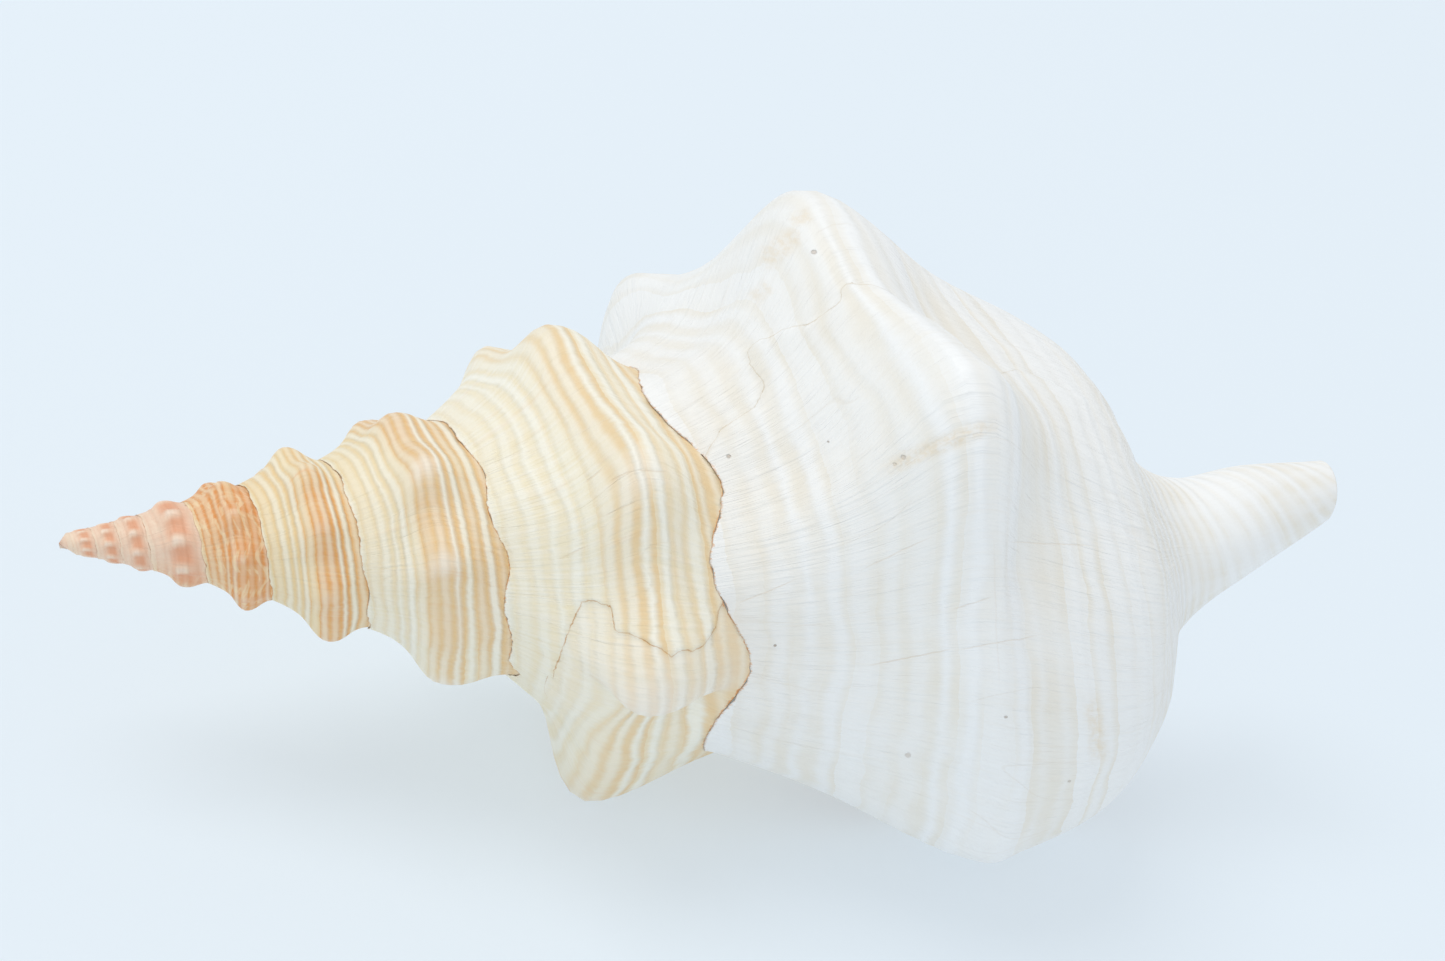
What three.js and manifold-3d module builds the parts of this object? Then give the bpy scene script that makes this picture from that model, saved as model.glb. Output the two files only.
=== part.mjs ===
// A horse conch shell: a right-handed spiral grown as one piece, with a tall knobbed spire,
// a broad last whorl with a wide mouth, and a long open canal at the front.
// Millimetres, +Z up. The shell lies on its mouth side, with the apex towards -X.

import * as THREE from 'three';
import { mergeVertices } from 'three/addons/utils/BufferGeometryUtils.js';
import Module from 'manifold-3d';

// Growth. Turn 0 is the lip where it leaves the suture, and turns count back from it to the apex.
const WHORL_GROWTH = 1.435;
const SUTURE_X = 120.3;
const SUTURE_RADIUS = 37.4;
const SUTURE_POWER = 1.248;
const APEX_TURN = -9;
const FIRST_TURN = -7.5;

// The first whorls grew more slowly. By turn, how many turns of even growth they are ahead of their place.
const EARLY_TURNS = [-9, -7.2, -6.2, -5.2, -4.2, -3.2, -2.2, -1.4];
const EARLY_AHEAD = [1.7, 1.3, 0.97, 0.58, 0.445, 0.22, 0.09, 0];

// The suture bends with the knobs of the whorl that it lies against.
const SUTURE_WAVE_X = 0.057;
const SUTURE_WAVE_RADIUS = 0.01;
const SUTURE_WAVE_EARLY = 0.2;

// The shoulder by turn: its place across the whorl's band, and its height over a straight cone.
const SHOULDER_TURNS = [-7.3, -2.5, -2, -1.5, -1.25, -1, -0.75, -0.5, -0.25, -0.1, 0];
const SHOULDER_PLACE = [0.45, 0.55, 0.52, 0.58, 0.65, 0.46, 0.47, 0.58, 0.77, 0.855, 0.92];
const SHOULDER_HEIGHT = [0.98, 1.21, 1.17, 1.34, 1.27, 1.4, 1.47, 1.34, 1.23, 1.06, 0.97];
const RAMP_SPIRE = 0.41;
const RAMP_BODY = 0.33;
const RAMP_LIP = 0.47;
const RAMP_BULGE = 0.09;
const RAMP_BULGE_TURN = -1.51;
const RAMP_BULGE_WIDTH = 0.1;

// On the last whorl the profile runs on past the shoulder before it turns to the base: at least this far,
// or this share of the shoulder's distance, and further near the lip.
const CONTACT_GAP = 5.5;
const CONTACT_SHARE = 0.12;
const CONTACT_GAP_LIP = 11;
const CONTACT_TUCK = 0.02;

// The base of the last whorl by turn: two places on its round front, the neck, the canal and the tip.
// grows is the share of the place along the axis that shrinks with the turns inside the shell.
const BASE_TURNS = [-1, -0.75, -0.5, -0.25, -0.1, 0];
const BASE = [
  { grows: 1, x: [147, 163.5, 174, 185.3, 191.5, 195], radius: [34.5, 38.2, 39.8, 43.1, 47, 52] },
  { grows: 1, x: [162, 180, 190, 197, 203.5, 209.5], radius: [22.5, 23, 23.9, 25.2, 30.3, 37.4] },
  { grows: 0.5, x: [180, 199, 206.9, 209.5, 212, 213.6], radius: [11, 11.4, 11.9, 12.6, 15, 19.5] },
  { grows: 0, x: [224, 227, 228, 228, 228, 228], radius: [5.6, 8.8, 10.5, 10.9, 10.9, 10.9] },
  { grows: 0, x: [247.5, 247.5, 247.5, 247.5, 247.5, 247.5], radius: [5.6, 6.1, 6.1, 6.1, 6.1, 6.1] },
];

// The spire is a little bent: by place along the axis, how far it lies off it.
const CROOK_X = [8.6, 25, 40, 60, 76, 90];
const CROOK_UP = [0, 0.4, 0.7, 0.9, 1.3, 0];

// The canal bends up and away from the mouth.
const BEND_START = 214.7;
const BEND_END = 247.4;
const BEND_POWER = 1.25;
const BEND_UP = 8;
const BEND_SIDE = 3.7;

// Knobs: turn of the top, height share, half width in turns. The spire repeats them at a set pitch.
const KNOBS = [
  [-0.04, 0.56, 0.055],
  [-0.306, 1.12, 0.056],
  [-0.443, 1.07, 0.055],
  [-0.62, 1.36, 0.05],
  [-0.8, 1.45, 0.055],
  [-0.948, 1.065, 0.055],
  [-1.153, 1, 0.055],
  [-1.3, 1, 0.05],
  [-1.462, 0.8, 0.045],
  [-1.584, 1.16, 0.045],
  [-1.73, 1, 0.05],
  [-1.865, 0.95, 0.045],
  [-2.02, 1, 0.045],
  [-2.11, 0.5, 0.042],
  [-2.22, 1, 0.042],
  [-2.335, 1, 0.042],
  [-2.452, 0.7, 0.042],
];
const KNOB_PITCH = 0.1167;
const KNOB_EARLY_HEIGHT = 0.85;
const KNOB_EARLY_WIDTH = 0.042;
for (let turn = KNOBS.at(-1)[0] - KNOB_PITCH; turn > APEX_TURN; turn -= KNOB_PITCH) {
  KNOBS.push([turn, KNOB_EARLY_HEIGHT, KNOB_EARLY_WIDTH]);
}
const KNOB_SHARPNESS = 1.2;
const KNOB_VALLEY = 0.3;
const KNOB_HEIGHT_SPIRE = 0.181;
const KNOB_HEIGHT_BODY = 0.21;
const KNOB_REACH_BACK = 0.85;
const KNOB_REACH_FRONT = 0.91;
const KNOB_LAG = 0.037;

// The mouth: how far the lip runs on past turn 0 by station, the wall, and how deep the hollow goes.
const LIP_STATIONS = [0, 1, 2, 3, 4, 5, 6, 7, 8];
const LIP_REACH = [0, 0.02, 0.035, 0.04, 0.035, 0.02, 0, 0, 0];
const LIP_START = -0.25;
const WALL_AT_LIP = 2.6;
const WALL_INSIDE = 3.2;
const WALL_THINNER_IN_CANAL = 0.45;
const HOLLOW_TURNS = 1;
const HOLLOW_CORNER = 0.4;
const HOLLOW_KNOBS = 0.4;
const SLOT_END = 7.85;

// Where the lip starts around the axis, and how the axis lies.
const LIP_ANGLE = Math.PI;
const REST_UP = new THREE.Vector3(0.0677, -0.5725, 0.8175).normalize();
const REST_CUT = 0.6;

// Facets.
const STEPS_PER_TURN = 48;
const BAND_STATIONS = [0, 0.4, 0.8, 1.25, 1.7, 2, 2.4, 3];
const FRONT_STATIONS = [3.4, 3.8, 4.2, 4.6, 5, 5.4, 5.8, 6.2, 6.6, 7, 7.4, 7.85, 8];
const STATIONS = [...BAND_STATIONS, ...FRONT_STATIONS];
const CONTACT_ROW = BAND_STATIONS.length - 1;
const SLOT_ROW = STATIONS.indexOf(SLOT_END);
const LAST_ROW = STATIONS.length - 1;

function smooth(from, to, value) {
  const u = Math.min(Math.max((value - from) / (to - from), 0), 1);
  return u * u * (3 - 2 * u);
}

// A smooth curve through values at uneven places.
function spline(places, values, at) {
  const last = places.length - 1;
  const x = Math.min(Math.max(at, places[0]), places[last]);
  let i = 0;
  while (i < last - 1 && x >= places[i + 1]) i += 1;
  const width = (k) => places[k + 1] - places[k];
  const rise = (k) => (values[k + 1] - values[k]) / width(k);
  const slope = (k) => {
    if (k === 0) return rise(0);
    if (k === last) return rise(last - 1);
    return (rise(k - 1) * width(k) + rise(k) * width(k - 1)) / (width(k) + width(k - 1));
  };
  const u = (x - places[i]) / width(i);
  const start = slope(i) * width(i);
  const end = slope(i + 1) * width(i);
  return values[i] * (2 * u ** 3 - 3 * u ** 2 + 1) + start * (u ** 3 - 2 * u ** 2 + u)
    + values[i + 1] * (3 * u ** 2 - 2 * u ** 3) + end * (u ** 3 - u ** 2);
}

function knobs(turn) {
  let sum = 0;
  for (const [top, height, halfWidth] of KNOBS) {
    sum += height * Math.exp(-KNOB_SHARPNESS * ((turn - top) / halfWidth) ** 2);
  }
  return sum - KNOB_VALLEY;
}

function growthAt(turn) {
  return WHORL_GROWTH ** (turn + spline(EARLY_TURNS, EARLY_AHEAD, turn));
}

function suture(turn) {
  const growth = growthAt(turn);
  const share = SUTURE_WAVE_EARLY + (1 - SUTURE_WAVE_EARLY) * smooth(-1.7, -0.5, turn);
  const wave = knobs(turn - 1) * share;
  return {
    x: SUTURE_X * growth * (1 + SUTURE_WAVE_X * wave),
    radius: SUTURE_RADIUS * growth ** SUTURE_POWER * (1 + SUTURE_WAVE_RADIUS * wave),
  };
}

// The profile's stations at a turn: suture, ramp, shoulder, contact with the next whorl, then the base.
function stations(turn) {
  const growth = growthAt(turn);
  const next = growthAt(turn + 1);
  const backX = SUTURE_X * growth;
  const bandX = SUTURE_X * next - backX;
  const backRadius = SUTURE_RADIUS * growth ** SUTURE_POWER;
  const bandRadius = SUTURE_RADIUS * next ** SUTURE_POWER - backRadius;
  const place = spline(SHOULDER_TURNS, SHOULDER_PLACE, turn);
  const shoulderX = backX + place * bandX;
  const shoulderRadius = (backRadius + place * bandRadius) * spline(SHOULDER_TURNS, SHOULDER_HEIGHT, turn);
  const ramp = RAMP_SPIRE + (RAMP_BODY - RAMP_SPIRE) * smooth(-1.6, -0.3, turn)
    + (RAMP_LIP - RAMP_BODY) * smooth(-0.3, 0, turn)
    + RAMP_BULGE * Math.exp(-(((turn - RAMP_BULGE_TURN) / RAMP_BULGE_WIDTH) ** 2));
  const start = suture(turn);
  const contact = suture(turn + 1);
  if (turn >= -1) {
    const late = smooth(-0.4, -0.15, turn);
    const early = Math.min(CONTACT_GAP, CONTACT_SHARE * place * bandX);
    const gap = early + (CONTACT_GAP_LIP - early) * late;
    contact.x = Math.max(contact.x, shoulderX + gap);
    contact.radius *= 1 - CONTACT_TUCK * smooth(-0.3, 0, turn);
  }
  const x = [start.x, (start.x + shoulderX) / 2, shoulderX, contact.x];
  const radius = [
    start.radius,
    start.radius + ramp * (shoulderRadius - start.radius),
    shoulderRadius,
    contact.radius,
  ];
  const inside = WHORL_GROWTH ** Math.min(turn + 1, 0);
  for (const row of BASE) {
    const shrink = 1 - row.grows * (1 - inside);
    x.push(spline(BASE_TURNS, row.x, turn) * shrink);
    radius.push(spline(BASE_TURNS, row.radius, turn) * inside);
  }
  return { x, radius, shoulderRadius };
}

// The profile's place along the axis and from the axis, at a turn and a station from 0 to 8.
// knobShare is how much of a knob's height there is. The valleys between knobs keep their full depth.
// Towards the suture a knob's ridge comes later, as the growth lines do.
function profile(turn, station, knobShare = 1) {
  const row = stations(turn);
  const reach = station < 2 ? KNOB_REACH_BACK : KNOB_REACH_FRONT;
  const spread = Math.exp(-(((station - 2) / reach) ** 2));
  const share = KNOB_HEIGHT_SPIRE + (KNOB_HEIGHT_BODY - KNOB_HEIGHT_SPIRE) * smooth(-1, -0.6, turn);
  const knob = knobs(turn - KNOB_LAG * Math.max(2 - station, 0));
  const lift = (knob > 0 ? knobShare : 1) * share * row.shoulderRadius * knob * spread;
  return {
    x: spline(LIP_STATIONS, row.x, station),
    radius: spline(LIP_STATIONS, row.radius, station) + lift,
  };
}

function lipTurn(turn, station) {
  return turn + spline(LIP_STATIONS, LIP_REACH, station) * smooth(LIP_START, 0, turn);
}

function inSpace(point, turn) {
  const angle = LIP_ANGLE + 2 * Math.PI * turn;
  const bend = Math.max((point.x - BEND_START) / (BEND_END - BEND_START), 0) ** BEND_POWER;
  return new THREE.Vector3(
    point.x,
    -point.radius * Math.sin(angle) + BEND_SIDE * bend,
    point.radius * Math.cos(angle) + BEND_UP * bend + spline(CROOK_X, CROOK_UP, point.x),
  );
}

function outside(turn, station) {
  const at = turn > LIP_START ? lipTurn(turn, station) : turn;
  return inSpace(profile(at, station), at);
}

// The hollow's outer side: the profile moved in by the wall, square to itself.
function hollowWall(turn, station) {
  const at = lipTurn(turn, station);
  const step = 0.002;
  const before = profile(at, Math.max(station - step, 0), HOLLOW_KNOBS);
  const after = profile(at, Math.min(station + step, 8), HOLLOW_KNOBS);
  const here = profile(at, station, HOLLOW_KNOBS);
  const run = Math.hypot(after.x - before.x, after.radius - before.radius);
  const wall = WALL_AT_LIP + (WALL_INSIDE - WALL_AT_LIP) * smooth(0, -HOLLOW_TURNS, turn);
  const canal = 1 - WALL_THINNER_IN_CANAL * smooth(5.5, 7, station);
  return inSpace({
    x: here.x + wall * canal * (after.radius - before.radius) / run,
    radius: here.radius - wall * canal * (after.x - before.x) / run,
  }, at);
}

// Vertices are kept once each, by name, so that the sheets share their edges.
const points = [];
const known = new Map();
const triangles = [];

function vertex(name, make) {
  if (!known.has(name)) {
    known.set(name, points.length);
    points.push(make());
  }
  return known.get(name);
}

// A column counts steps from turn 0, and a row counts stations from the suture.
function outer(column, row) {
  if (row === CONTACT_ROW && column <= -STEPS_PER_TURN) return outer(column + STEPS_PER_TURN, 0);
  if (row >= SLOT_ROW && column === 0) return outer(-STEPS_PER_TURN, row);
  return vertex(`outer ${column} ${row}`, () => outside(column / STEPS_PER_TURN, STATIONS[row]));
}

function wallStation(row) {
  return HOLLOW_CORNER + (SLOT_END - HOLLOW_CORNER) * STATIONS[row] / SLOT_END;
}

function wall(column, row) {
  if (row === SLOT_ROW && column === 0) return outer(0, SLOT_ROW);
  const make = () => hollowWall(column / STEPS_PER_TURN, wallStation(row));
  return vertex(`wall ${column} ${row}`, make);
}

// The hollow's inner side is the whorl before it.
function parietal(column, row) {
  if (row === CONTACT_ROW) return wall(column, 0);
  if (row === SLOT_ROW) return wall(column, SLOT_ROW);
  if (column === 0) return outer(-STEPS_PER_TURN, row);
  const turn = column / STEPS_PER_TURN - 1;
  return vertex(`parietal ${column} ${row}`, () => inSpace(profile(turn, STATIONS[row]), turn));
}

function triangle(a, b, c) {
  if (a !== b && b !== c && c !== a) triangles.push(a, c, b);
}

function quad(a, b, c, d) {
  triangle(a, b, c);
  triangle(a, c, d);
}

// Joins two rows of different counts with one strip.
function strip(one, two) {
  let i = 0;
  let k = 0;
  while (i < one.length - 1 || k < two.length - 1) {
    const stepOne = (i + 1) / (one.length - 1);
    const stepTwo = (k + 1) / (two.length - 1);
    if (stepOne <= stepTwo) {
      triangle(one[i], one[i + 1], two[k]);
      i += 1;
    } else {
      triangle(one[i], two[k + 1], two[k]);
      k += 1;
    }
  }
}

function range(from, to) {
  return Array.from({ length: to - from + 1 }, (_, i) => from + i);
}

function spireAndBody() {
  const first = FIRST_TURN * STEPS_PER_TURN;
  for (let column = first; column < 0; column += 1) {
    const rows = column < -STEPS_PER_TURN ? CONTACT_ROW : LAST_ROW;
    for (let row = 0; row < rows; row += 1) {
      quad(outer(column, row), outer(column, row + 1), outer(column + 1, row + 1), outer(column + 1, row));
    }
  }
  const apex = vertex('apex', () => new THREE.Vector3(SUTURE_X * growthAt(APEX_TURN), 0, 0));
  for (let column = first; column < first + STEPS_PER_TURN; column += 1) {
    triangle(apex, outer(column, 0), outer(column + 1, 0));
  }
  for (let row = 0; row < CONTACT_ROW; row += 1) triangle(apex, outer(first, row + 1), outer(first, row));
  const tipPoint = { x: BASE.at(-1).x[0] + 1.5, radius: 0 };
  const tip = vertex('tip', () => inSpace(tipPoint, 0));
  for (let column = -STEPS_PER_TURN; column < 0; column += 1) {
    triangle(tip, outer(column + 1, LAST_ROW), outer(column, LAST_ROW));
  }
}

function mouth() {
  const deep = -Math.round(HOLLOW_TURNS * STEPS_PER_TURN);
  for (let column = deep; column < 0; column += 1) {
    for (let row = 0; row < SLOT_ROW; row += 1) {
      quad(wall(column, row), wall(column + 1, row), wall(column + 1, row + 1), wall(column, row + 1));
    }
    for (let row = CONTACT_ROW; row < SLOT_ROW; row += 1) {
      const here = [parietal(column, row), parietal(column, row + 1)];
      quad(...here, parietal(column + 1, row + 1), parietal(column + 1, row));
    }
  }
  const wallRows = range(0, SLOT_ROW);
  const parietalRows = range(CONTACT_ROW, SLOT_ROW);
  strip(wallRows.map((row) => wall(deep, row)), parietalRows.map((row) => parietal(deep, row)));
  strip(wallRows.map((row) => outer(0, row)), wallRows.map((row) => wall(0, row)));
  triangle(outer(0, 0), wall(0, 0), outer(-STEPS_PER_TURN, CONTACT_ROW + 1));
}

spireAndBody();
mouth();

// Lays the shell down: REST_UP turns to +Z, and the axis keeps to the XZ plane.
const along = new THREE.Vector3(1, 0, 0).projectOnPlane(REST_UP).normalize();
const across = new THREE.Vector3().crossVectors(REST_UP, along);
const lay = new THREE.Matrix4().makeBasis(along, across, REST_UP).transpose();
for (const point of points) point.applyMatrix4(lay);

const box = new THREE.Box3().setFromPoints(points);
const floor = box.min.z + REST_CUT;
const middle = box.getCenter(new THREE.Vector3());
for (const point of points) point.sub(new THREE.Vector3(middle.x, middle.y, floor));

const wasm = await Module();
wasm.setup();

function solidOf(geometry) {
  return new wasm.Manifold(new wasm.Mesh({
    numProp: 3,
    vertProperties: new Float32Array(geometry.attributes.position.array),
    triVerts: new Uint32Array(geometry.index.array),
  }));
}

function geometryOf(solid) {
  const mesh = solid.getMesh();
  const geometry = new THREE.BufferGeometry();
  geometry.setAttribute('position', new THREE.BufferAttribute(mesh.vertProperties, 3));
  geometry.setIndex(new THREE.BufferAttribute(mesh.triVerts, 1));
  geometry.computeVertexNormals();
  return geometry;
}

const grown = new THREE.BufferGeometry();
grown.setAttribute('position', new THREE.Float32BufferAttribute(points.flatMap((p) => p.toArray()), 3));
grown.setIndex(triangles);

// Worn flat where it touches what it rests on.
const below = new THREE.BoxGeometry(400, 400, 40);
below.translate(0, 0, -20);
below.deleteAttribute('normal');
below.deleteAttribute('uv');
const rested = solidOf(grown).subtract(solidOf(mergeVertices(below)));

const material = new THREE.MeshStandardMaterial({ color: 0xe9dcc6, roughness: 0.55, metalness: 0 });
const shell = new THREE.Mesh(geometryOf(rested), material);
shell.name = 'shell';

const group = new THREE.Group();
group.add(shell);

export default group;
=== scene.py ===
import math
from types import SimpleNamespace

import bpy
import numpy as np
from mathutils import Matrix, Vector


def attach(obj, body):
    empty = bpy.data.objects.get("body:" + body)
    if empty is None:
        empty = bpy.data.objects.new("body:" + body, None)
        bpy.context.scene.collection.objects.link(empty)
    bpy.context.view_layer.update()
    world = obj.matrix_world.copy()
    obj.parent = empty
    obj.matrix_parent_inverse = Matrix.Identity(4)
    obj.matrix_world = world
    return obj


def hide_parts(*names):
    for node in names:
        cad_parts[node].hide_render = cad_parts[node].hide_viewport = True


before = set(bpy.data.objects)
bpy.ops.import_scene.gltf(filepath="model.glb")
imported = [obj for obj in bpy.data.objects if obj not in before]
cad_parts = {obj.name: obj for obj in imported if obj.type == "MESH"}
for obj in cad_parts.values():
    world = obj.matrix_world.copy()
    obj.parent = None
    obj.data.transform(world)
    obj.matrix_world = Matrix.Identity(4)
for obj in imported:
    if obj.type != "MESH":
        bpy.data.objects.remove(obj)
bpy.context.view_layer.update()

MM = 0.001

# Growth of the shell, in millimetres and turns. Turn 0 is the lip, and turns count back to the apex.
# A pair of turns or stations is a range over which one value passes into another.
WHORL_GROWTH = 1.435
SUTURE_X = 120.3
SUTURE_RADIUS = 37.4
SUTURE_POWER = 1.248
APEX_TURN = -9
FIRST_TURN = -8.85

# The first whorls grew more slowly. By turn, how many turns of even growth they are ahead of their place.
EARLY_TURNS = [-9, -7.2, -6.2, -5.2, -4.2, -3.2, -2.2, -1.4]
EARLY_AHEAD = [1.7, 1.3, 0.97, 0.58, 0.445, 0.22, 0.09, 0]

# The sutures wave over the knobs. Then come the shoulder, the ramp before it, the contact with the next
# whorl, and the base by turn, where a row's first number says how much it grows with the whorls.
SUTURE_WAVE_X = 0.057
SUTURE_WAVE_RADIUS = 0.01
SUTURE_WAVE_EARLY = 0.2
SUTURE_WAVE_GROWS = (-1.7, -0.5)
SHOULDER_TURNS = [-7.3, -2.5, -2, -1.5, -1.25, -1, -0.75, -0.5, -0.25, -0.1, 0]
SHOULDER_PLACE = [0.45, 0.55, 0.52, 0.58, 0.65, 0.46, 0.47, 0.58, 0.77, 0.855, 0.92]
SHOULDER_HEIGHT = [0.98, 1.21, 1.17, 1.34, 1.27, 1.4, 1.47, 1.34, 1.23, 1.06, 0.97]
RAMP_SPIRE = 0.41
RAMP_BODY = 0.33
RAMP_LIP = 0.47
RAMP_TO_BODY = (-1.6, -0.3)
NEAR_LIP = (-0.3, 0)
RAMP_BULGE = 0.09
RAMP_BULGE_TURN = -1.51
RAMP_BULGE_WIDTH = 0.1
CONTACT_GAP = 5.5
CONTACT_SHARE = 0.12
CONTACT_GAP_LIP = 11
CONTACT_GAP_OPENS = (-0.4, -0.15)
CONTACT_TUCK = 0.02
BASE_TURNS = [-1, -0.75, -0.5, -0.25, -0.1, 0]
BASE = [
    (1, [147, 163.5, 174, 185.3, 191.5, 195], [34.5, 38.2, 39.8, 43.1, 47, 52]),
    (1, [162, 180, 190, 197, 203.5, 209.5], [22.5, 23, 23.9, 25.2, 30.3, 37.4]),
    (0.5, [180, 199, 206.9, 209.5, 212, 213.6], [11, 11.4, 11.9, 12.6, 15, 19.5]),
    (0, [224, 227, 228, 228, 228, 228], [5.6, 8.8, 10.5, 10.9, 10.9, 10.9]),
    (0, [247.5] * 6, [5.6, 6.1, 6.1, 6.1, 6.1, 6.1]),
]
# The spire is a little bent: by place along the axis, how far it lies off it.
CROOK_X = [8.6, 25, 40, 60, 76, 90]
CROOK_UP = [0, 0.4, 0.7, 0.9, 1.3, 0]
# The canal bends up and aside.
BEND_START = 214.7
BEND_END = 247.4
BEND_POWER = 1.25
BEND_UP = 8
BEND_SIDE = 3.7
# A knob is its turn, height and half width.
KNOBS = [
    (-0.04, 0.56, 0.055), (-0.306, 1.12, 0.056), (-0.443, 1.07, 0.055), (-0.62, 1.36, 0.05),
    (-0.8, 1.45, 0.055), (-0.948, 1.065, 0.055), (-1.153, 1, 0.055), (-1.3, 1, 0.05),
    (-1.462, 0.8, 0.045), (-1.584, 1.16, 0.045), (-1.73, 1, 0.05), (-1.865, 0.95, 0.045), (-2.02, 1, 0.045),
    (-2.11, 0.5, 0.042), (-2.22, 1, 0.042), (-2.335, 1, 0.042), (-2.452, 0.7, 0.042),
]
KNOB_PITCH = 0.1167
KNOB_EARLY_HEIGHT = 0.85
KNOB_EARLY_WIDTH = 0.042
while KNOBS[-1][0] - KNOB_PITCH > APEX_TURN:
    KNOBS.append((KNOBS[-1][0] - KNOB_PITCH, KNOB_EARLY_HEIGHT, KNOB_EARLY_WIDTH))
KNOB_SHARPNESS = 1.2
KNOB_VALLEY = 0.3
KNOB_HEIGHT_SPIRE = 0.181
KNOB_HEIGHT_BODY = 0.21
KNOB_HEIGHT_GROWS = (-1, -0.6)
# Under the next whorl the knobs sink into the suture: from one turn to the other, and over these stations.
KNOB_SINK_TURNS = (-0.95, -1)
KNOB_SINK_STATIONS = (2.3, 3)
KNOB_REACH_BACK = 0.85
KNOB_REACH_FRONT = 0.91
KNOB_LAG = 0.037
LIP_REACH = [0, 0.02, 0.035, 0.04, 0.035, 0.02, 0, 0, 0]
LIP_START = -0.25
WALL_AT_LIP = 2.6
WALL_INSIDE = 3.2
WALL_THINNER_IN_CANAL = 0.45
WALL_THINS = (5.5, 7)
HOLLOW_TURNS = 1
HOLLOW_CORNER = 0.4
HOLLOW_KNOBS = 0.4

# Stations run across the profile from 0 at the suture to the canal's tip. CONTACT is where the next whorl
# starts, and SLOT_END where the canal's slot ends.
SHOULDER = 2
CONTACT = 3
SLOT_END = 7.85
TIP = 8

# How the axis lies, and how much is worn off where the shell rests.
REST_UP = np.array([0.0677, -0.5725, 0.8175])
REST_CUT = 0.6

# The coarse grid that the resting place is measured on.
COARSE_STEPS = 48
COARSE_BAND = [0, 0.4, 0.8, 1.25, 1.7, SHOULDER, 2.4, CONTACT]
COARSE_FRONT = [3.4, 3.8, 4.2, 4.6, 5, 5.4, 5.8, 6.2, 6.6, 7, 7.4, SLOT_END, TIP]
COARSE_FIRST = -7.5

# The fine grid of the finished surface.
STEPS = 200
BAND_ROWS = 32
ROW_CROWDING = 0.13
FRONT_ROWS = 100
TIP_STATIONS = [7.93, 7.98, TIP]
TIP_EDGE = 0.35
TIP_END = 1.5
INSIDE_EVERY = 4

# The photograph's size, and its camera in the shell's own frame before it is laid down.
CAMERA_PLACE = np.array([-30.7, -444.7, 10.25])
CAMERA_YAW = 0.3336
PHOTO_WIDTH = 1445
PHOTO_HEIGHT = 961
FOCAL_PIXELS = 2650
SENSOR_WIDTH = 36


def smooth(start, end, value):
    u = np.clip((value - start) / (end - start), 0, 1)
    return u * u * (3 - 2 * u)


def blend(one, two, share):
    return one + (two - one) * share


def curve(start, leaving, end, arriving, u):
    """From start to end with these slopes, for u from 0 to 1."""
    return (start * (2 * u**3 - 3 * u**2 + 1) + leaving * (u**3 - 2 * u**2 + u)
            + end * (3 * u**2 - 2 * u**3) + arriving * (u**3 - u**2))


def spline(places, values, at):
    """A smooth curve through values at uneven places."""
    places = np.asarray(places, float)
    values = np.asarray(values, float)
    width = np.diff(places)
    rise = np.diff(values) / width
    slope = np.empty_like(values)
    slope[1:-1] = (rise[:-1] * width[1:] + rise[1:] * width[:-1]) / (width[1:] + width[:-1])
    slope[0] = rise[0]
    slope[-1] = rise[-1]
    x = np.clip(at, places[0], places[-1])
    i = np.clip(np.searchsorted(places, x, side="right") - 1, 0, len(places) - 2)
    u = (x - places[i]) / width[i]
    return curve(values[i], slope[i] * width[i], values[i + 1], slope[i + 1] * width[i], u)


def along_rows(values, station):
    """The same curve through nine values at stations 0 to TIP, one set of values a point."""
    rise = np.diff(values, axis=1)
    slope = np.empty_like(values)
    slope[:, 1:-1] = (rise[:, :-1] + rise[:, 1:]) / 2
    slope[:, 0] = rise[:, 0]
    slope[:, -1] = rise[:, -1]
    i = np.clip(np.floor(station).astype(int), 0, TIP - 1)
    n = np.arange(len(station))
    return curve(values[n, i], slope[n, i], values[n, i + 1], slope[n, i + 1], station - i)


def knobs(turn):
    total = np.full(np.shape(turn), -KNOB_VALLEY)
    for top, height, half_width in KNOBS:
        total = total + height * np.exp(-KNOB_SHARPNESS * ((turn - top) / half_width) ** 2)
    return total


def knobs_at(turn, station):
    """Towards the suture a knob's ridge comes later, as the growth lines do."""
    return knobs(turn - KNOB_LAG * np.maximum(SHOULDER - station, 0))


def near_shoulder(station, back, front):
    return np.exp(-(((station - SHOULDER) / np.where(station < SHOULDER, back, front)) ** 2))


def growth_at(turn):
    return WHORL_GROWTH ** (turn + spline(EARLY_TURNS, EARLY_AHEAD, turn))


def suture(turn, waves=1):
    growth = growth_at(turn)
    share = blend(SUTURE_WAVE_EARLY, 1, smooth(*SUTURE_WAVE_GROWS, turn))
    wave = knobs(turn - 1) * waves * share
    x = SUTURE_X * growth * (1 + SUTURE_WAVE_X * wave)
    return x, SUTURE_RADIUS * growth**SUTURE_POWER * (1 + SUTURE_WAVE_RADIUS * wave)


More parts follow.
